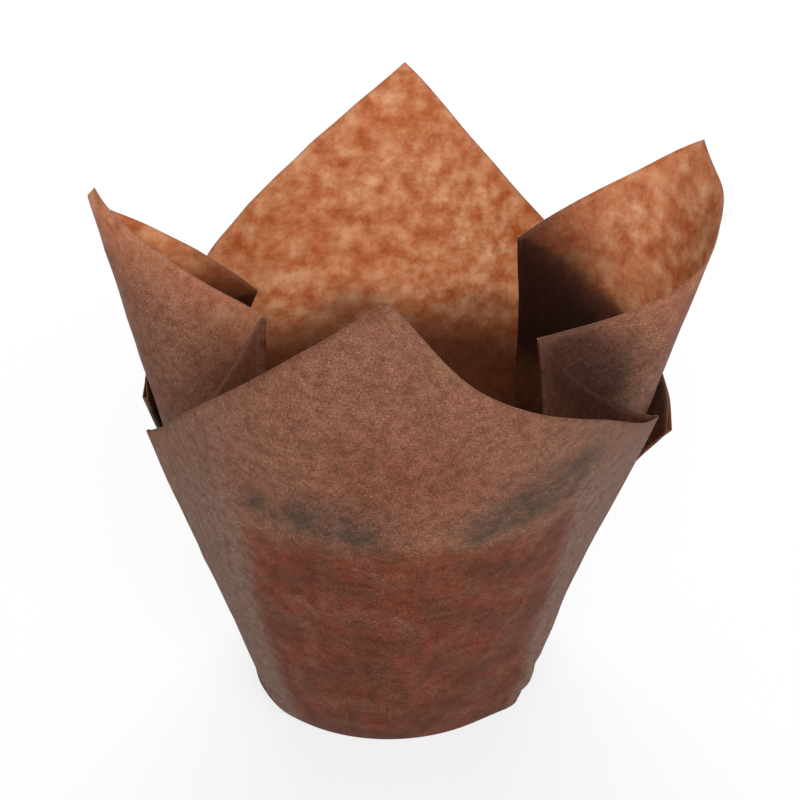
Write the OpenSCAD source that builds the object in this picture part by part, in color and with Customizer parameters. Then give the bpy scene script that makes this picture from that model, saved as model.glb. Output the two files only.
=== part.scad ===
// Tulip baking wrap: a muffin cup folded from one square sheet of paper.
// The sheet is pressed up round a flat base and its four corners stand as petals.
// At the middle of each side it makes a pleat of three layers. The front and back
// panels lie outside. Each turns back at an outer fold, runs in to an inner fold,
// and goes out again as the left or right panel.
// +Z is up, the front petal points to -Y, and the origin is the centre of the base.

/* [Sheet] */
// Side of the square sheet before it is folded
sheet_side = 175; // [160:1:190]
// Thickness of the wall
wall = 0.3; // [0.2:0.05:0.4]
// Diameter of the flat base
base_d = 50; // [46:1:54]

/* [Pleats] */
// Distance between the layers of a pleat, centre to centre
layer_step = 0.8; // [0.6:0.05:1.0]
// Distance of an outer fold from the front or back corner, as a share of the side
outer_fold = 0.48; // [0.44:0.01:0.5]
// Distance of an inner fold from the left or right corner, as a share of the side
inner_fold = 0.22; // [0.2:0.01:0.26]
// Half of a side panel's angle at the base
side_half = 32; // [28:1:36]
// Angle that each pleat's middle layer takes at the base
pleat_root = 8; // [6:1:10]
// Height over which the layers of a pleat part from each other
parting_h = 3; // [2:0.5:4]

/* [Lean] */
// Outward tilt of the wall at the base
wall_tilt = 22; // [18:1:26]
// Outward tilt at the front tip
front_lean = -1; // [-9:1:7]
// Outward tilt at the back tip
back_lean = 4.5; // [0:0.5:10]
// Outward tilt at the left tip
left_lean = 10; // [6:0.5:14]
// Outward tilt at the right tip
right_lean = 24; // [18:0.5:28]

/* [Hidden] */
paper_brown = "#8a5a46";

front_az = -90;
right_az = 0;
back_az = 90;
left_az = 180;
base_r = base_d / 2;
front_half = 90 - side_half - pleat_root;

// Mesh steps: from a fold to a tip, across a pleat, round a fold, and up the wall
front_steps = 23;
side_steps = 14;
pleat_steps = 8;
turn_steps = 4;
rise_steps = 12;
rise_power = 1.4;
// The most of a wall's run that may go sideways, and the least bend an arc is drawn with
most_sideways = 0.8;
least_bend = 0.001;

// Guide lines of each panel, from one fold over the tip to the other fold. A line holds:
// place along the sheet's edge in sides, counted from the front corner,
// azimuth at the base as a share of the panel's half angle, azimuth at the rim,
// tilt at the base, tilt at the rim
front_panel = rooted(front_az, front_half, [
    [-outer_fold, -1, -156.5, wall_tilt - 3.5, 13.5],
    [-0.3, -0.66, -144.5, wall_tilt - 1, front_lean + 5.5],
    [-0.12, -0.24, -113, wall_tilt, front_lean - 1],
    [0, 0, -88.5, wall_tilt, front_lean],
    [0.12, 0.24, -72, wall_tilt + 0.5, front_lean + 8.5],
    [0.3, 0.66, -36, wall_tilt - 0.5, front_lean + 15.5],
    [outer_fold, 1, -16, wall_tilt - 2, 22]
]);
right_panel = rooted(right_az, side_half, [
    [1 - inner_fold, -1, -34, wall_tilt - 8, -4.5],
    [0.86, -0.62, -5.5, wall_tilt - 1.5, right_lean - 6],
    [0.94, -0.25, 13.5, wall_tilt + 0.5, right_lean + 0.5],
    [1, 0, 24, wall_tilt, right_lean],
    [1.1, 0.47, 30.5, wall_tilt - 3.5, right_lean - 8],
    [1 + inner_fold, 1, 37, wall_tilt - 14, 1]
]);
back_panel = rooted(back_az, front_half, [
    [2 - outer_fold, -1, -6, wall_tilt + 4, 25],
    [1.7, -0.66, 40.5, wall_tilt + 1.5, back_lean + 7.5],
    [1.88, -0.24, 68, wall_tilt, back_lean + 2.5],
    [2, 0, 83.5, wall_tilt - 0.5, back_lean],
    [2.12, 0.24, 105, wall_tilt - 0.5, back_lean + 0.5],
    [2.3, 0.66, 143.5, wall_tilt - 0.5, back_lean + 0.5],
    [2 + outer_fold, 1, 180, wall_tilt, 8.5]
]);
left_panel = rooted(left_az, side_half, [
    [3 - inner_fold, -1, 164, wall_tilt + 0.5, -26.5],
    [2.9, -0.47, 170, wall_tilt - 3.5, left_lean - 8.5],
    [2.96, -0.16, 174.5, wall_tilt - 4.5, left_lean + 2],
    [3, 0.03, 178, wall_tilt - 5.5, left_lean],
    [3.08, 0.47, 183, wall_tilt - 6.5, left_lean - 3.5],
    [3 + inner_fold, 1, 201, wall_tilt - 20.5, -7.5]
]);
tip_place = [0, 1, 2, 3];

// Guide lines inside each pleat's middle layer. They hold the same, but the azimuth at
// the base is a share of the way from the pleat's first fold to its second.
front_right_lines = [[0.63, 0.5, -25, wall_tilt - 5, 6.5]];
right_back_lines = [
    [1.29, 0.25, 34, wall_tilt - 6, 10],
    [1.37, 0.5, 27.5, wall_tilt - 4, 18.5],
    [1.45, 0.75, 15, wall_tilt - 1, 24]
];
back_left_lines = [
    [2.55, 0.25, 171, wall_tilt - 2.5, 10.5],
    [2.63, 0.5, 165, wall_tilt - 2.5, 3.5],
    [2.71, 0.75, 162, wall_tilt - 1.5, -8.5]
];
left_front_lines = [[3.37, 0.5, 207, wall_tilt - 9.5, -1]];
// Angle at the rim by which the back left pleat keeps clear of the left panel at their fold
fold_clear = 1.5;

function rooted(az, half, lines) =
    [for (l = lines) [l[0], az + half * l[1], l[2], l[3], l[4]]];
// Share of the way between a pair of guide lines, as a line of its own
function between(a, b, t) = a + (b - a) * t;
// The first guide line of the front panel again, one turn further on
function next_turn(line) = line + [4, 360, 360, 0, 0];
function last(v) = v[len(v) - 1];

// Smooth curve through the guide lines K, at the place u
function span(K, u, i = 0) = i >= len(K) - 2 || u < K[i + 1][0] ? i : span(K, u, i + 1);
function chord(K, i) = (K[i + 1] - K[i]) / (K[i + 1][0] - K[i][0]);
function slope(K, i) =
    i == 0 ? 1.5 * chord(K, 0) - 0.5 * slope(K, 1) :
    i == len(K) - 1 ? 1.5 * chord(K, i - 1) - 0.5 * slope(K, i - 1) :
    let (before = K[i][0] - K[i - 1][0], after = K[i + 1][0] - K[i][0])
    (chord(K, i - 1) * after + chord(K, i) * before) / (before + after);
function along(K, u) =
    let (i = span(K, u), h = K[i + 1][0] - K[i][0], t = (u - K[i][0]) / h, w = 1 - t)
    K[i] * (1 + 2 * t) * w * w + slope(K, i) * h * t * w * w
    + K[i + 1] * (3 - 2 * t) * t * t - slope(K, i + 1) * h * t * t * w;

// Stations round the sheet: a guide line, then its layer and its shift along the fold
function panel_stations(K, tip, steps, layer) =
    let (first = K[0][0], end = last(K)[0])
    [for (i = [0:2 * steps])
        let (u = i < steps ? first + (tip - first) * i / steps : tip + (end - tip) * (i - steps) / steps)
        concat(along(K, u), [layer, 0])];
function turn_stations(a, b, from, to, way) = [for (i = [1:turn_steps - 1])
    let (
        angle = 180 * i / turn_steps,
        t = (1 - cos(angle)) / 2,
        bulge = way * abs(to - from) / 2 * layer_step * sin(angle)
    ) concat(between(a, b, t), [between(from, to, t), bulge])];
function pleat_stations(K) =
    [for (i = [0:pleat_steps])
        concat(along(K, between(K[0][0], last(K)[0], i / pleat_steps)), [0, 0])];
// One pleat with both its folds, from the line a on one panel to the line b on the next
function pleat(a, lines, b, from, to, clear = 0) =
    let (
        inside = [for (l = lines) [l[0], between(a[1], b[1], l[1]), l[2], l[3], l[4]]],
        K = concat([a], inside, [b - [0, 0, clear, 0, 0]])
    ) concat(
        turn_stations(a, K[0], from, 0, 1), pleat_stations(K), turn_stations(last(K), b, 0, to, -1));
outer_layer = 1;
inner_layer = -1;
stations = concat(
    panel_stations(front_panel, tip_place[0], front_steps, outer_layer),
    pleat(last(front_panel), front_right_lines, right_panel[0], outer_layer, inner_layer),
    panel_stations(right_panel, tip_place[1], side_steps, inner_layer),
    pleat(last(right_panel), right_back_lines, back_panel[0], inner_layer, outer_layer),
    panel_stations(back_panel, tip_place[2], front_steps, outer_layer),
    pleat(last(back_panel), back_left_lines, left_panel[0], outer_layer, inner_layer, fold_clear),
    panel_stations(left_panel, tip_place[3], side_steps, inner_layer),
    pleat(last(left_panel), left_front_lines, next_turn(front_panel[0]), inner_layer, outer_layer));
round_n = len(stations);

// Length of sheet from the base's edge out to the place u on the sheet's edge
function reach(u) = norm([sheet_side / 2, sheet_side * (u - floor(u) - 0.5)]) - base_r;

// Middle of the wall at station s and share v of the way up. The wall is an arc whose
// tilt goes evenly from the base to the rim, and what runs sideways is lost in height.
function middle(s, v) =
    let (
        run = reach(s[0]),
        turn = s[2] - s[1],
        bend = s[4] - s[3] + least_bend,
        tilt = s[3] + bend * v,
        mean_r = base_r + run * sin((s[3] + s[4]) / 2) / 2,
        sideways = min(most_sideways, abs(mean_r * turn * PI / 180 / run)),
        size = sqrt(1 - sideways * sideways) * run * 180 / PI / bend,
        z = size * (sin(tilt) - sin(s[3])),
        parting = 1 - exp(-z / parting_h),
        r = base_r + size * (cos(s[3]) - cos(tilt)) + s[5] * layer_step * parting,
        az = s[1] + turn * v + s[6] * parting / r * 180 / PI
    ) [r * cos(az), r * sin(az), z];
function share(j) = pow(j / rise_steps, rise_power);
middles = [for (s = stations) [for (j = [0:rise_steps]) middle(s, share(j))]];

// Direction out of the sheet's outer side at station i, level j
function outward(i, j) =
    let (
        a = middles[(i + round_n - 1) % round_n][j],
        b = middles[(i + 1) % round_n][j],
        c = middles[i][max(j - 1, 0)],
        d = middles[i][min(j + 1, rise_steps)],
        n = cross(b - a, d - c)
    ) n / norm(n);

// Wall points: the sheet's outer side and its inner side. The lowest ring of each
// lies flat, on the underside of the base and on its top.
function ring_point(i, r, z) = let (az = stations[i][1]) [r * cos(az), r * sin(az), z];
outer_side = [for (i = [0:round_n - 1]) for (j = [0:rise_steps])
    j == 0 ? ring_point(i, base_r, 0) : middles[i][j] + outward(i, j) * wall / 2];
inner_side = [for (i = [0:round_n - 1]) for (j = [0:rise_steps])
    j == 0 ? ring_point(i, base_r - wall, wall) : middles[i][j] - outward(i, j) * wall / 2];
side_n = len(outer_side);
underside_centre = 2 * side_n;
floor_centre = underside_centre + 1;

function at(i, j) = (i % round_n) * (rise_steps + 1) + j;
wall_faces = [for (i = [0:round_n - 1]) for (j = [0:rise_steps - 1]) each
    let (a = at(i, j), b = at(i + 1, j), c = at(i + 1, j + 1), d = at(i, j + 1)) [
        [a, c, b], [a, d, c],
        [side_n + a, side_n + b, side_n + c], [side_n + a, side_n + c, side_n + d]]];
edge_faces = [for (i = [0:round_n - 1]) each
    let (a = at(i, rise_steps), b = at(i + 1, rise_steps)) [
        [a, side_n + b, b], [a, side_n + a, side_n + b]]];
base_faces = [for (i = [0:round_n - 1]) each
    let (a = at(i, 0), b = at(i + 1, 0)) [
        [underside_centre, a, b], [floor_centre, side_n + b, side_n + a]]];

// The whole wrap, one folded sheet
module liner() {
    color(paper_brown)
    polyhedron(
        concat(outer_side, inner_side, [[0, 0, 0], [0, 0, wall]]),
        concat(wall_faces, edge_faces, base_faces), convexity = 12);
}

liner();
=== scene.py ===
"""Looks of a tulip baking wrap: one square sheet of brown baking paper, folded into a cup.

The sheet is folded by the CAD solid's guide lines on a finer mesh. Three lines of the left
petal are set a little closer to the photograph. Then the sheet is crumpled a little.
Sizes are in millimetres up to the mesh, which is in metres.
"""

import math

import bmesh
import bpy
import numpy as np
from mathutils import Matrix, Vector


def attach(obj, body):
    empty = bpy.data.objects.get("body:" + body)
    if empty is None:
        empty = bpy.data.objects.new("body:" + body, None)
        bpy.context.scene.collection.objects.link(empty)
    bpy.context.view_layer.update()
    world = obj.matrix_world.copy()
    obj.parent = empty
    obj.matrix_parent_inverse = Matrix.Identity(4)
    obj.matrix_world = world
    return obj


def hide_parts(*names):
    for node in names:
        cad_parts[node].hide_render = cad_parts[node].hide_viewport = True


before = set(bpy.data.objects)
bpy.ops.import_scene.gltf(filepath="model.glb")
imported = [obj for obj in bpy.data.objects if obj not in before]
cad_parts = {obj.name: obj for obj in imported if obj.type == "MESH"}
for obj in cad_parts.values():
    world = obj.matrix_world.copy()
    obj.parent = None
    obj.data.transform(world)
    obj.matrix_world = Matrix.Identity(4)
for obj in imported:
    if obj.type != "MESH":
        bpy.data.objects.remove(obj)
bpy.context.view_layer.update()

MM = 0.001  # a millimetre in metres

# The folded sheet

SHEET_SIDE = 175.0
BASE_R = 25.0
LAYER_STEP = 0.8  # from the middle of one layer of a pleat to the next
PARTING_H = 3.0  # height over which the layers of a pleat part
PAPER = 0.12  # shown thickness; the solid's wall stands in for real paper and is thicker

# Guide lines: place on the sheet's edge in sides from the front corner, azimuth at the
# base, azimuth at the rim, tilt at the base, tilt at the rim
FRONT = [
    [-0.48, -140, -156.5, 18.5, 13.5],
    [-0.30, -123, -144.5, 21, 4.5],
    [-0.12, -102, -113, 22, -2],
    [0, -90, -88.5, 22, -1],
    [0.12, -78, -72, 22.5, 7.5],
    [0.30, -57, -36, 21.5, 14.5],
    [0.48, -40, -16, 20, 22],
]
FRONT_RIGHT = [[0.63, -36, -25, 17, 6.5]]
RIGHT = [
    [0.78, -32, -34, 14, -4.5],
    [0.86, -20, -5.5, 20.5, 18],
    [0.94, -8, 13.5, 22.5, 24.5],
    [1, 0, 24, 22, 24],
    [1.1, 15, 30.5, 18.5, 16],
    [1.22, 32, 37, 8, 1],
]
RIGHT_BACK = [
    [1.29, 34, 34, 16, 10],
    [1.37, 36, 27.5, 18, 18.5],
    [1.45, 38, 15, 21, 24],
]
BACK = [
    [1.52, 40, -6, 26, 25],
    [1.70, 57, 40.5, 23.5, 12],
    [1.88, 78, 68, 22, 7],
    [2, 90, 83.5, 21.5, 4.5],
    [2.12, 102, 105, 21.5, 5],
    [2.30, 123, 143.5, 21.5, 5],
    [2.48, 140, 180, 22, 8.5],
]
BACK_LEFT = [
    [2.55, 142, 171, 19.5, 10.5],
    [2.63, 144, 165, 19.5, 3.5],
    [2.71, 146, 162, 20.5, -8.5],
]
LEFT = [
    [2.78, 148, 164, 22.5, -26.5],
    [2.90, 165, 170, 18.5, 1.5],
    [2.96, 175, 173, 17.5, 12],
    [3, 181, 179.5, 16.5, 10.5],
    [3.08, 195, 184.8, 15.5, 3.5],
    [3.22, 212, 201, 1.5, -7.5],
]
LEFT_FRONT = [[3.37, 216, 207, 12.5, -1]]
NEXT_TURN = np.array([4, 360, 360, 0, 0.0])  # a line once more round the sheet
FOLD_CLEAR = np.array([0, 0, 1.5, 0, 0.0])  # keeps a rolled petal clear of its pleat

# Columns of a station, which is a guide line with its layer and its shift along the fold
PLACE, ROOT, RIM, LOW, HIGH, LAYER, SHIFT = range(7)
OUTER, MIDDLE, INNER = 1.0, 0.0, -1.0

# Steps of the mesh: from a panel's fold to its tip, across a pleat, round a fold, up the
# wall, where they are closer together low down, and rings of the base
FRONT_STEPS = 80
SIDE_STEPS = 44
PLEAT_STEPS = 18
TURN_STEPS = 4
RISE_STEPS = 68
RISE_POWER = 1.2
BASE_RINGS = 6

MOST_SIDEWAYS = 0.8  # share of a line's length that may run round the wall
LEAST_BEND = 2e-5  # radians; lets a straight line be worked out as a bent one


def curve(lines, places):
    """Smooth curve through guide lines, at the places."""
    knots = np.asarray(lines, float)
    at = knots[:, PLACE]
    span = np.diff(at)[:, None]
    chord = np.diff(knots, axis=0) / span
    slope = np.empty_like(knots)
    slope[1:-1] = (chord[:-1] * span[1:] + chord[1:] * span[:-1]) / (span[:-1] + span[1:])
    slope[0] = 1.5 * chord[0] - 0.5 * slope[1]
    slope[-1] = 1.5 * chord[-1] - 0.5 * slope[-2]
    i = np.clip(np.searchsorted(at, places, side="right") - 1, 0, len(at) - 2)
    t = (places[:, None] - at[i][:, None]) / span[i]
    w = 1 - t
    return (
        knots[i] * (1 + 2 * t) * w * w
        + slope[i] * span[i] * t * w * w
        + knots[i + 1] * (3 - 2 * t) * t * t
        - slope[i + 1] * span[i] * t * t * w
    )


def stations(lines, places, layer):
    """Guide lines at the places, each with its layer and no shift along the fold."""
    between = curve(lines, places)
    return np.hstack([between, np.full((len(between), 1), layer), np.zeros((len(between), 1))])


def panel(lines, tip, steps, layer):
    """Stations of one panel, with one at the tip of its petal."""
    first, last = lines[0][PLACE], lines[-1][PLACE]
    places = np.append(
        np.linspace(first, tip, steps + 1)[:-1], np.linspace(tip, last, steps + 1)
    )
    return stations(lines, places, layer)


def turn(a, b, start, end, way):
    """Half circle round a fold, from line a in one layer to line b in the next."""
    a, b = np.asarray(a, float), np.asarray(b, float)
    rows = []
    for step in range(1, TURN_STEPS):
        angle = math.pi * step / TURN_STEPS
        t = (1 - math.cos(angle)) / 2
        bulge = way * abs(end - start) / 2 * LAYER_STEP * math.sin(angle)
        rows.append(np.append(a + (b - a) * t, [start + (end - start) * t, bulge]))
    return np.array(rows)


def pleat(a, lines, b, start, end, clear=0.0):
    """Middle layer of a pleat from line a to line b, and the turns at its two folds."""
    b = np.asarray(b, float)
    inside = np.vstack([a, lines, b - clear * FOLD_CLEAR])
    places = np.linspace(inside[0, PLACE], inside[-1, PLACE], PLEAT_STEPS + 1)
    return np.vstack(
        [
            turn(a, inside[0], start, MIDDLE, 1),
            stations(inside, places, MIDDLE),
            turn(inside[-1], b, MIDDLE, end, -1),
        ]
    )


def length_up(s):
    """Length of paper along each station, from the base's edge to the sheet's edge."""
    part = s[:, PLACE] - np.floor(s[:, PLACE])
    return np.hypot(SHEET_SIDE / 2, SHEET_SIDE * (part - 0.5)) - BASE_R


def middle(s, v):
    """Points of the sheet at stations s and shares v of the way up, before crumpling."""
    run = length_up(s)[:, None]
    root, rim, low, high = (np.radians(s[:, k])[:, None] for k in (ROOT, RIM, LOW, HIGH))
    layer, shift = s[:, LAYER][:, None], s[:, SHIFT][:, None]
    v = v[None, :]
    bend = high - low + LEAST_BEND
    tilt = low + bend * v
    mean_r = BASE_R + run * np.sin((low + high) / 2) / 2
    sideways = np.minimum(MOST_SIDEWAYS, np.abs(mean_r * (rim - root) / run))
    size = np.sqrt(1 - sideways**2) * run / bend
    z = size * (np.sin(tilt) - np.sin(low))
    parting = 1 - np.exp(-z / PARTING_H)
    r = BASE_R + size * (np.cos(low) - np.cos(tilt)) + layer * LAYER_STEP * parting
    az = root + (rim - root) * v + shift * parting / r
    return np.stack([r * np.cos(az), r * np.sin(az), z], -1)


def flat(s, v):
    """The same points on the flat sheet, measured from its centre."""
    side = np.floor(s[:, PLACE])
    az = np.radians(-45 + 90 * side) + np.arctan(2 * (s[:, PLACE] - side) - 1)
    r = BASE_R + length_up(s)[:, None] * v[None, :]
    return np.stack(
        [r * np.cos(az)[:, None], r * np.sin(az)[:, None], np.zeros_like(r)], -1
    )


ROUND = np.vstack(
    [
        panel(FRONT, 0, FRONT_STEPS, OUTER),
        pleat(FRONT[-1], FRONT_RIGHT, RIGHT[0], OUTER, INNER),
        panel(RIGHT, 1, SIDE_STEPS, INNER),
        pleat(RIGHT[-1], RIGHT_BACK, BACK[0], INNER, OUTER),
        panel(BACK, 2, FRONT_STEPS, OUTER),
        pleat(BACK[-1], BACK_LEFT, LEFT[0], OUTER, INNER, clear=1.0),
        panel(LEFT, 3, SIDE_STEPS, INNER),
        pleat(LEFT[-1], LEFT_FRONT, np.array(FRONT[0]) + NEXT_TURN, INNER, OUTER),
    ]
)
RISE = (np.arange(RISE_STEPS + 1) / RISE_STEPS) ** RISE_POWER
WALL = middle(ROUND, RISE)
FLAT = flat(ROUND, RISE)
COUNT = len(ROUND)
LEVELS = len(RISE)

# Crumpling: space itself is bent a little, so that layers never cross

WAVE_COUNT = 14


def waves(p, scale, seed):
    """Smooth random field of about -1 to 1, with features as long as scale."""
    rng = np.random.default_rng(seed)
    way = rng.normal(size=(WAVE_COUNT, 3))
    way /= np.linalg.norm(way, axis=1)[:, None]
    k = way * (2 * math.pi / scale) * rng.uniform(0.6, 1.3, WAVE_COUNT)[:, None]
    phase = rng.uniform(0, 2 * math.pi, WAVE_COUNT)
    return np.sin(p @ k.T + phase).sum(-1) * math.sqrt(2 / WAVE_COUNT) * 0.6


def crease(p, scale, seed):
    """Ridges where a smooth field changes sign: sharp folds between gentle facets."""
    return 1 - np.minimum(1, np.abs(waves(p, scale, seed)) * 1.6)


def spot_at(az, z, at_az, at_z, wide, high):
    """Soft spot round one azimuth and height."""
    d = (az - at_az + 180) % 360 - 180
    return np.exp(-((d / wide) ** 2) - ((z - at_z) / high) ** 2)


# Crumples: their field, how far they move the paper, how much further low on the pleats,
# their length, how much shorter they are round the wall than up it, and their seed
CRUMPLES = [
    (waves, 0.35, 0, 34, 1, 1),
    (crease, 0.16, 0, 26, 1, 2),
    (waves, 0.10, 0.35, 7.5, 0.35, 3),
    (crease, 0.06, 0, 9, 0.35, 4),
]
HELD_H = 6  # the base holds the wall still, and it is free from this height up
PLEAT_REACH = 0.25  # of the pleats round the wall, as a change of the azimuth's cosine
PLEAT_LOW_H = 22  # height over which the pleats' own crumples fade

# Dents and swellings: azimuth, height, reach round and up, size
DENTS = [
    [-36, 8, 11, 7, 1.8],
    [-40, 1.5, 8, 2.5, 0.9],
    [-45, 5, 2.5, 3.5, -0.5],
    [-20, 9, 4, 6, -0.5],
    [-39.5, 3.4, 2, 1.1, -0.7],
    [-37, 6.2, 2, 1.2, 0.3],
    [-34.5, 10, 3, 1.3, -0.5],
    [-141, 4, 8, 5, 0.4],
    [-137, 3.2, 2.5, 1.1, -0.6],
    [-158, 9, 4, 6, -0.4],
    [38, 6, 9, 6, 0.6],
    [144, 7, 8, 6, 0.5],
    [30, 4, 3, 3, -0.4],
    [15.5, 83.5, 4.5, 4, 0.7],
    [180, 97, 8, 3, -1.0],
]


def crumple(p):
    """Moves points straight out or in by the crumples and the dents."""
    r = np.hypot(p[..., 0], p[..., 1])
    az = np.degrees(np.arctan2(p[..., 1], p[..., 0]))
    z = p[..., 2]
    free = np.clip(z / HELD_H, 0, 1)
    on_pleats = np.exp(-(((np.abs(np.cos(np.radians(az)))) - 1) / PLEAT_REACH) ** 2)
    low = np.exp(-((z / PLEAT_LOW_H) ** 2))
    out = np.zeros_like(z)
    for field, far, further, scale, narrow, seed in CRUMPLES:
        stretched = p * np.array([1, 1, narrow])
        out += (far + further * on_pleats * low) * field(stretched, scale, seed) * free
    for *where, size in DENTS:
        out += size * spot_at(az, z, *where)
    unit = np.stack([p[..., 0] / r, p[..., 1] / r, np.zeros_like(r)], -1)
    return p + unit * out[..., None]


POINTS = crumple(WALL)

# The mesh: outer side, inner side, the cut edge between them, and both sides of the base

BASE_WAVES = 0.12  # height of the waves in the flat base
BASE_WAVE_SCALE = 9
BASE_WAVE_SEED = 5
INNER_SHRINK = np.array([0.995, 0.995, 1])  # keeps the inner side inside the outer one


def normals(p):
    """Direction out of the sheet at each of its points."""
    around = np.roll(p, -1, axis=0) - np.roll(p, 1, axis=0)
    up = np.gradient(p, axis=1)
    n = np.cross(around, up)
    return n / np.linalg.norm(n, axis=-1, keepdims=True)


# Rings of the flat base, from just inside its edge to near its centre
ring_az = np.radians(ROUND[:, ROOT])[:, None]
ring_r = BASE_R * (1 - np.arange(1, BASE_RINGS + 1) / (BASE_RINGS + 1))[None, :]
base_flat = np.stack(
    [ring_r * np.cos(ring_az), ring_r * np.sin(ring_az), np.zeros((COUNT, BASE_RINGS))], -1
)


def base_side(z):
    """One side of the base, with slight waves that fade towards its edge."""
    p = base_flat + np.array([0, 0, z])
    fade = 1 - (ring_r / BASE_R) ** 4
    wave = waves(p, BASE_WAVE_SCALE, BASE_WAVE_SEED)
    p[..., 2] += BASE_WAVES * np.maximum(0, 1 + wave) * fade
    return p


half_wall = normals(POINTS) * PAPER / 2
outer = POINTS + half_wall
inner = POINTS - half_wall
outer[:, 0] = POINTS[:, 0]
inner[:, 0] = POINTS[:, 0] * INNER_SHRINK + np.array([0, 0, PAPER])
verts = np.vstack(
    [
        outer.reshape(-1, 3),
        inner.reshape(-1, 3),
        base_side(0.0).reshape(-1, 3),
        base_side(PAPER).reshape(-1, 3),
        [[0, 0, BASE_WAVES], [0, 0, BASE_WAVES + PAPER]],
    ]
)
sheet_place = np.vstack(
    [FLAT.reshape(-1, 3)] * 2 + [base_flat.reshape(-1, 3)] * 2 + [np.zeros((2, 3))]
)

# Marks on the paper, from 0 to 1 at each point of the wall

wall_az = np.degrees(np.arctan2(WALL[..., 1], WALL[..., 0]))
wall_z = WALL[..., 2]
place = ROUND[:, PLACE]
layer = ROUND[:, LAYER]
everywhere = np.ones_like(wall_z)
in_outer = np.where(layer > 0.5, 1.0, 0.0)[:, None]
in_middle = np.where(np.abs(layer) < 0.9, 1.0, 0.0)[:, None]


def step_between(x, low, high):
    """Smooth step from 0 at low to 1 at high."""
    t = np.clip((x - low) / (high - low), 0, 1)
    return t * t * (3 - 2 * t)


def round_wall(spots):
    """Soft spots on the wall. Each is azimuth, height, reach round and reach up."""
    return np.clip(sum(spot_at(wall_az, wall_z, *spot) for spot in spots), 0, 1)


# Where the outer panels lie double over the pleats, by degrees from the middle of the front
# or the back. The front's left pleat begins a little sooner.
DOUBLED_FROM = 42, 50
LEFT_SOONER = 8
quarter = np.abs((wall_az + 180) % 180 - 90) + LEFT_SOONER * (wall_az < -90)
doubled = in_outer * step_between(quarter, *DOUBLED_FROM)
# Fat in the single paper up to an edge, and a little of it further up the front
FAT_EDGE = 46.5, 50.5
baked = (1 - doubled) * (1 - step_between(wall_z, *FAT_EDGE))
baked = np.maximum(baked, 0.4 * round_wall([[-90, 64, 16, 9]]) * in_outer)
# Grey-brown tide marks along that edge
tide = round_wall([
    [-123, 55, 4, 2.5], [-112, 54, 6, 3], [-103, 53.5, 7, 4.5], [-95, 51.5, 6, 3.5],
    [-70, 52.5, 5, 3], [-63, 54.5, 6, 4], [-55, 56.5, 6, 4.5], [-46, 58, 6, 5],
    [62, 52, 12, 3], [98, 51, 9, 3], [128, 53, 8, 3], [4, 51, 10, 4], [176, 50, 10, 4],
])
# Dark soft stains on the inner side of the side petals, partly painted shade by their
# back folds
stain_and_shade = round_wall([
    [38, 70, 3.5, 12], [34, 62, 5, 9], [29, 56, 7, 6], [165, 66, 6, 10],
])
# Painted shade: a dark soft place on the outer side of the right petal
painted_shade_flank = round_wall([[-29, 70, 8, 9], [-21, 64, 8, 9]]) * (1 - in_outer)
# Painted sheen: where the outer panels lie double, near their side edges, the paper is
# painted paler and greyer, the more so low on the wall
PAINTED_SHEEN_UP_TO = 48, 62
painted_sheen = doubled * (1 - 0.6 * step_between(wall_z, *PAINTED_SHEEN_UP_TO))
# Painted shade in the light that comes through: less of it passes on the front panel, in
# the pleats, low on the wall, and on the side panels all over their front halves and by the
# folds of their back halves
CLEAR_FROM = 42, 55
on_front = in_outer * step_between(-np.sin(np.radians(wall_az)), 0.1, 0.5)
from_tip = np.where(place < 2, 0.97 - place, place - 2.94)
by_back_fold = np.where(
    place < 2, step_between(-from_tip, 0.14, 0.25), step_between(-from_tip, 0.07, 0.13)
)
to_fold = 0.75 * step_between(from_tip, 0, 0.13) + 0.8 * by_back_fold
on_side = np.where(layer < -0.5, to_fold, 0.0)[:, None] * (1 - 0.7 * step_between(RISE, 0.72, 1))
by_left_fold = (step_between(place, 2.38, 2.45) * (place < 2.56))[:, None] * everywhere
low_down = 1 - step_between(wall_z, *CLEAR_FROM)
painted_shade_through = np.maximum.reduce(
    [0.7 * on_front, 0.7 * in_middle * everywhere, on_side, by_left_fold, 0.85 * low_down]
)
# Each mark on the wall, and its value on the base
MARKS = {
    "baked": (baked, 1.0),
    "painted_sheen": (painted_sheen, 0.0),
    "painted_shade_flank": (painted_shade_flank, 0.0),
    "tide": (tide, 0.0),
    "stain_and_shade": (stain_and_shade, 0.0),
    "painted_shade_through": (painted_shade_through, 1.0),
}
# Painted light: the inner side is darker and more orange, standing for the bounce light
# and shade inside the cup. Little of it shows in the pleats, where the inner side faces out
PLEAT_BOUNCE_SHARE = 0.15
n_wall, n_base = COUNT * LEVELS, COUNT * BASE_RINGS
inner_bounce_share = np.repeat(np.where(in_middle[:, 0] > 0, PLEAT_BOUNCE_SHARE, 1.0), LEVELS)
inside_painted_bounce = np.concatenate(
    [np.zeros(n_wall), inner_bounce_share, np.zeros(n_base), np.ones(n_base), [0, 1]]
)

# Faces. Each side of the sheet has its first vertex and its number of vertices per station

OUT, IN = (0, LEVELS), (n_wall, LEVELS)
BASE_UNDER, BASE_TOP = (2 * n_wall, BASE_RINGS), (2 * n_wall + n_base, BASE_RINGS)
EDGE, LAST_RING = LEVELS - 1, BASE_RINGS - 1
CENTRE_UNDER, CENTRE_TOP = len(verts) - 2, len(verts) - 1
here = np.arange(COUNT)
beside = (here + 1) % COUNT


def vert(side, line, level):
    """Index of the vertex at a station and a level or ring of one side."""
    first, width = side
    return first + line * width + level


def side_quads(side, flip):
    """All four-sided faces of one side."""
    columns = np.arange(side[1] - 1)
    a = vert(side, here[:, None], columns).ravel()
    b = vert(side, beside[:, None], columns).ravel()
    quads = np.stack([a, b, b + 1, a + 1], 1)
    return quads[:, ::-1] if flip else quads


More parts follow.
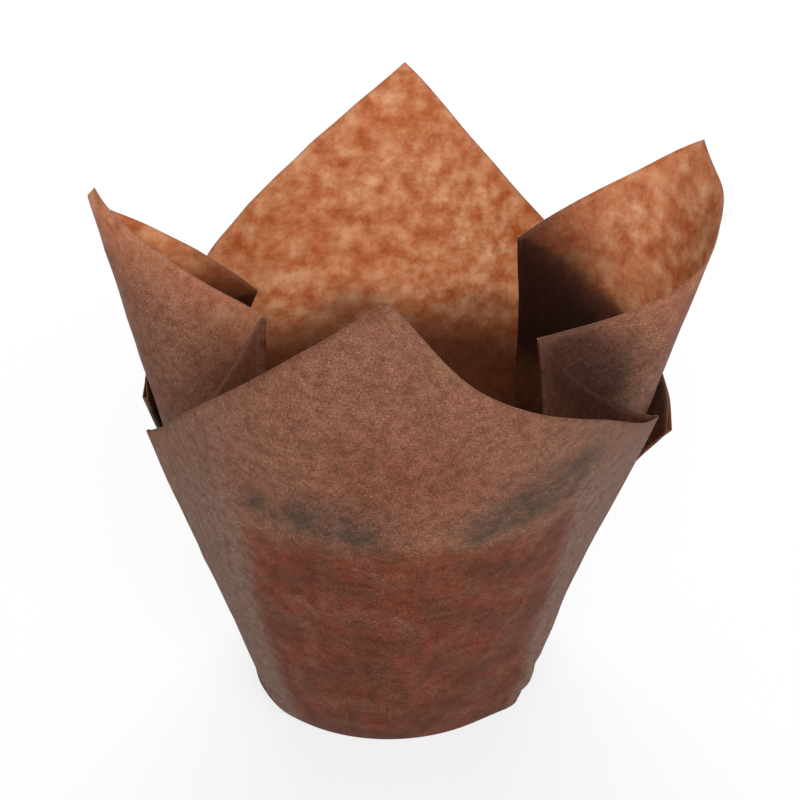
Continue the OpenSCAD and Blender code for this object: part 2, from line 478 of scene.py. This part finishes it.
def strip(*corners):
    """One face per station. Each corner is a side, a row of stations and a level."""
    return np.stack([vert(*corner) for corner in corners], 1)


def fan(centre, first, second):
    """Triangles from a centre vertex to the last ring of the base."""
    return np.column_stack([np.full(COUNT, centre), vert(*first), vert(*second)])


groups = [
    side_quads(OUT, False),
    side_quads(IN, True),
    strip((OUT, here, EDGE), (OUT, beside, EDGE), (IN, beside, EDGE), (IN, here, EDGE)),
    side_quads(BASE_UNDER, True),
    side_quads(BASE_TOP, False),
    strip((OUT, here, 0), (BASE_UNDER, here, 0), (BASE_UNDER, beside, 0), (OUT, beside, 0)),
    strip((IN, here, 0), (IN, beside, 0), (BASE_TOP, beside, 0), (BASE_TOP, here, 0)),
    fan(CENTRE_UNDER, (BASE_UNDER, beside, LAST_RING), (BASE_UNDER, here, LAST_RING)),
    fan(CENTRE_TOP, (BASE_TOP, here, LAST_RING), (BASE_TOP, beside, LAST_RING)),
]
faces = [face.tolist() for group in groups for face in group]
mesh = bpy.data.meshes.new("paper_wrap")
mesh.from_pydata((verts * MM).tolist(), [], faces)
mesh.attributes.new("sheet", "FLOAT_VECTOR", "POINT").data.foreach_set(
    "vector", (sheet_place * MM).ravel()
)
mesh.attributes.new("inside", "FLOAT", "POINT").data.foreach_set("value", inside_painted_bounce)
for mark, (on_wall, on_base) in MARKS.items():
    values = np.concatenate([on_wall.ravel()] * 2 + [np.full(2 * n_base + 2, on_base)])
    mesh.attributes.new(mark, "FLOAT", "POINT").data.foreach_set("value", values)
mesh.shade_smooth()
mesh.validate()
mesh.update()
wrap = bpy.data.objects.new("paper_wrap", mesh)
bpy.context.scene.collection.objects.link(wrap)

# Materials


def colour(code):
    """sRGB hex to linear, as the shader sockets take it."""
    out = []
    for n in (1, 3, 5):
        c = int(code[n : n + 2], 16) / 255
        out.append(c / 12.92 if c <= 0.04045 else ((c + 0.055) / 1.055) ** 2.4)
    return (*out, 1.0)


def add(tree, kind, settings=None, **sockets):
    """Adds a node. settings are its own properties, sockets its inputs: a value, or an
    output socket to link. A name's underscore stands for a space, and s0 is input 0."""
    node = tree.nodes.new(kind)
    for key, value in (settings or {}).items():
        setattr(node, key, value)
    for key, value in sockets.items():
        socket = node.inputs[int(key[1:]) if key[1:].isdigit() else key.replace("_", " ")]
        if isinstance(value, bpy.types.NodeSocket):
            tree.links.new(value, socket)
        else:
            socket.default_value = value
    return node


# Brown baking paper, dyed greaseproof sheet of about 45 g per square metre. The eye sees
# matt brown with fine pale fibres in it where light falls on it, and orange clouds of
# thick and thin pulp where light comes through. Where fat has soaked into it, it is
# redder. Painted shade makes less light come through on the front, in the pleats and low
# on the wall.
paper = bpy.data.materials.new("brown_baking_paper")
paper.use_nodes = True
tree = paper.node_tree
tree.nodes.clear()
sheet = add(tree, "ShaderNodeAttribute", {"attribute_name": "sheet"}).outputs["Vector"]
spread = {}
for mark in [*MARKS, "inside"]:
    spread[mark] = add(tree, "ShaderNodeAttribute", {"attribute_name": mark}).outputs["Fac"]
# Patterns of the pulp: features in a metre, detail, roughness, and the range drawn, with
# the size of a feature beside it. Fibres are under 0.1 mm across and drawn three to five
# times as coarse, so that they show. Clouds of pulp are about 4 mm, in wider drifts.
PATTERNS = [
    ("gaps", 2900, 3, 0.9, 0.36, 0.66),  # 0.35 mm
    ("flecks", 2100, 3, 0.8, 0.55, 0.68),  # 0.5 mm
    ("specks", 520, 4, 0.75, 0.42, 0.62),  # 2 mm
    ("clouds", 270, 6, 0.68, 0.33, 0.67),  # 4 mm
    ("patches", 210, 5, 0.7, 0.36, 0.60),  # 5 mm
    ("mottle", 125, 4, 0.6, 0.40, 0.62),  # 8 mm
    ("drift", 42, 2, 0.5, 0.3, 0.7),  # 24 mm
]
for pattern, scale, detail, rough, low, high in PATTERNS:
    noise = add(
        tree, "ShaderNodeTexNoise", Vector=sheet, Scale=scale, Detail=detail, Roughness=rough
    )
    spread[pattern] = add(
        tree, "ShaderNodeMapRange", Value=noise.outputs["Fac"], From_Min=low, From_Max=high
    ).outputs[0]
# Each look starts from one colour. Then each coat has a way to blend, a strength, the
# marks and patterns it lies on, and a colour. "lit" is the sheet by the light that falls
# on it, and "through" by the light that comes through it.
LOOKS = {
    "lit": ("#c48c6e", [
        ("MIX", 0.5, ["mottle"], "#a07250"),
        ("MIX", 0.6, ["drift"], "#b87460"),
        # Painted sheen: paler, greyer colour and paler fibres along the panels' side edges
        ("MIX", 0.45, ["painted_sheen"], "#b8a092"),
        ("MIX", 0.7, ["flecks"], "#ecc8b2"),
        ("MIX", 0.5, ["painted_sheen", "flecks"], "#f4e2d4"),
        ("MIX", 0.5, ["baked"], "#9c5438"),
        ("MIX", 0.85, ["baked", "patches"], "#a84c2c"),
        ("MIX", 0.6, ["baked", "mottle"], "#7a482c"),
        # Painted light: the inner side is darker and more orange, for bounce light and shade
        # inside the cup
        ("MIX", 1.0, ["inside"], "#a86947"),
        ("MIX", 0.35, ["tide"], "#70685a"),
        ("MIX", 0.85, ["tide", "patches"], "#665a4c"),
        ("MULTIPLY", 0.55, ["specks"], "#948070"),
        ("MULTIPLY", 1.0, ["gaps"], "#8a756b"),
        # Painted shade: the right petal's flank is darker
        ("MULTIPLY", 0.9, ["painted_shade_flank"], "#7c645c"),
        # Dark stains on the inner side, partly painted shade by the side petals' back folds
        ("MULTIPLY", 0.9, ["stain_and_shade", "inside"], "#50362c"),
    ]),
    "through": ("#d08c5a", [
        ("MIX", 1.0, ["clouds"], "#ffe6cc"),
        ("MIX", 0.35, ["drift"], "#d68c54"),
        # Painted shade: little light comes through on the front, in the pleats, low on the wall
        # and on parts of the side panels
        ("MIX", 1.0, ["painted_shade_through"], "#451a0c"),
        ("MIX", 0.2, ["tide"], "#4a2a1a"),
        # The stains, partly painted shade, also darken the light that comes through
        ("MIX", 0.8, ["stain_and_shade"], "#501e0c"),
        # Painted shade: almost no light comes through on the right petal's flank
        ("MIX", 0.8, ["painted_shade_flank"], "#200c06"),
    ]),
}
looks = {}
for look, (first, coats) in LOOKS.items():
    tint = colour(first)
    for blend, amount, lies_on, code in coats:
        for name in lies_on:
            amount = add(
                tree, "ShaderNodeMath", {"operation": "MULTIPLY"}, s0=spread[name], s1=amount
            ).outputs[0]
        tint = add(
            tree,
            "ShaderNodeMix",
            {"data_type": "RGBA", "blend_type": blend},
            Factor=amount,
            s6=tint,
            s7=colour(code),
        ).outputs[2]
    looks[look] = tint
bump = add(
    tree,
    "ShaderNodeBump",
    {"invert": True},
    Height=spread["gaps"],
    Strength=0.3,
    Distance=0.05 * MM,
).outputs[0]
lit = add(
    tree,
    "ShaderNodeBsdfPrincipled",
    Base_Color=looks["lit"],
    Roughness=0.55,
    IOR=1.45,
    Specular_IOR_Level=0.35,
    Normal=bump,
)
glow = add(tree, "ShaderNodeBsdfTranslucent", Color=looks["through"], Normal=bump)
surface = add(tree, "ShaderNodeMixShader", Fac=0.5, s1=lit.outputs[0], s2=glow.outputs[0])
add(tree, "ShaderNodeOutputMaterial", Surface=surface.outputs[0])
mesh.materials.append(paper)

# Cut edge of the same paper: a hair's breadth of matt pulp, darker than the faces. Its
# fibres are drawn at about 0.7 mm, so that they show.
cut_edge = bpy.data.materials.new("paper_cut_edge")
cut_edge.use_nodes = True
tree = cut_edge.node_tree
tree.nodes.clear()
sheet = add(tree, "ShaderNodeAttribute", {"attribute_name": "sheet"}).outputs["Vector"]
noise = add(tree, "ShaderNodeTexNoise", Vector=sheet, Scale=1500, Detail=3, Roughness=0.6)
pulp = add(
    tree,
    "ShaderNodeMix",
    {"data_type": "RGBA"},
    Factor=noise.outputs["Fac"],
    s6=colour("#5a3524"),
    s7=colour("#8a5c44"),
)
edge_lit = add(
    tree, "ShaderNodeBsdfPrincipled", Base_Color=pulp.outputs[2], Roughness=0.8, IOR=1.45
)
add(tree, "ShaderNodeOutputMaterial", Surface=edge_lit.outputs[0])
mesh.materials.append(cut_edge)
face_finish = np.zeros(len(mesh.polygons), int)
first_edge = len(groups[0]) + len(groups[1])
face_finish[first_edge : first_edge + COUNT] = 1
mesh.polygons.foreach_set("material_index", face_finish)

# The stations round a fold meet in one point at the base. Those points are joined, so that
# the mesh is closed, with no face that has no area and no line in its shading.
JOIN_WITHIN = 0.0001
joined = bmesh.new()
joined.from_mesh(mesh)
bmesh.ops.remove_doubles(joined, verts=joined.verts, dist=JOIN_WITHIN * MM)
joined.to_mesh(mesh)
joined.free()
mesh.update()

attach(wrap, "root")
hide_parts("liner")

# Floor, light and camera, in metres

FLOOR_HALF = 3.0
CARD_SHOWN = 0.75  # share of full white in the card where it is seen
ROOM_LIGHT = 0.28  # strength of the world as a light; where it is seen it is white
LAMPS = [  # name, place, size, watts
    ("key", (0.15, -1.0, 0.5), 1.0, 14.5),
    ("back", (0.02, 1.0, 0.3), 1.2, 27),
]
LAMP_AIM = Vector((0, 0, 0.05))

floor_mesh = bpy.data.meshes.new("floor")
corners = [(-1, -1), (1, -1), (1, 1), (-1, 1)]
floor_mesh.from_pydata(
    [(x * FLOOR_HALF, y * FLOOR_HALF, 0) for x, y in corners], [], [(0, 1, 2, 3)]
)
floor = bpy.data.objects.new("floor", floor_mesh)
bpy.context.scene.collection.objects.link(floor)
# White card: plain and matt, shown a little lighter than the light makes it
white = bpy.data.materials.new("white_card")
white.use_nodes = True
white.node_tree.nodes.clear()
world = bpy.data.worlds.new("studio")
world.use_nodes = True
# Rays that show the card or the world itself: from the camera, a gloss or a glass
shows = []
for tree in (white.node_tree, world.node_tree):
    path = add(tree, "ShaderNodeLightPath").outputs
    seen = path["Is Camera Ray"]
    for ray in ("Is Glossy Ray", "Is Transmission Ray"):
        seen = add(
            tree, "ShaderNodeMath", {"operation": "MAXIMUM"}, s0=seen, s1=path[ray]
        ).outputs[0]
    shows.append(seen)
tree = white.node_tree
card = add(tree, "ShaderNodeBsdfDiffuse", Color=(0.85, 0.85, 0.85, 1))
shown = add(tree, "ShaderNodeEmission", Color=(1, 1, 1, 1), Strength=1.0)
part_shown = add(tree, "ShaderNodeMath", {"operation": "MULTIPLY"}, s0=shows[0], s1=CARD_SHOWN)
backdrop = add(
    tree,
    "ShaderNodeMixShader",
    Fac=part_shown.outputs[0],
    s1=card.outputs[0],
    s2=shown.outputs[0],
)
add(tree, "ShaderNodeOutputMaterial", Surface=backdrop.outputs[0])
floor_mesh.materials.append(white)

for name, at, size, watts in LAMPS:
    light = bpy.data.lights.new(name, "AREA")
    light.shape = "SQUARE"
    light.size = size
    light.energy = watts
    lamp = bpy.data.objects.new(name, light)
    lamp.location = at
    lamp.visible_camera = False
    lamp.rotation_euler = (LAMP_AIM - Vector(at)).to_track_quat("-Z", "Y").to_euler()
    bpy.context.scene.collection.objects.link(lamp)

tree = world.node_tree
level = add(tree, "ShaderNodeMapRange", Value=shows[1], To_Min=ROOM_LIGHT, To_Max=1.0)
sky = tree.nodes["Background"]
sky.inputs["Color"].default_value = (1, 1, 1, 1)
tree.links.new(level.outputs[0], sky.inputs["Strength"])
bpy.context.scene.world = world
bpy.context.scene.view_settings.view_transform = "Standard"

# The photograph's view: tilt down, roll, distance and lens found from its outlines
ELEVATION = math.radians(30.5)
ROLL = math.radians(-1.83)
DISTANCE = 0.5
TARGET = Vector((0.00265, 0, 0.05372))
FOCAL_PX = 2906.2
IMAGE_PX = 800
SENSOR = 36
back_way = Vector((0, -math.cos(ELEVATION), math.sin(ELEVATION)))
right_way = Vector((1, 0, 0))
up_way = back_way.cross(right_way)
right_rolled = math.cos(ROLL) * right_way + math.sin(ROLL) * up_way
up_rolled = -math.sin(ROLL) * right_way + math.cos(ROLL) * up_way
camera_data = bpy.data.cameras.new("camera")
camera_data.sensor_width = SENSOR
camera_data.lens = FOCAL_PX / IMAGE_PX * SENSOR
camera = bpy.data.objects.new("camera", camera_data)
turned = Matrix((right_rolled, up_rolled, back_way)).transposed().to_4x4()
camera.matrix_world = Matrix.Translation(TARGET + back_way * DISTANCE) @ turned
bpy.context.scene.collection.objects.link(camera)
bpy.context.scene.camera = camera
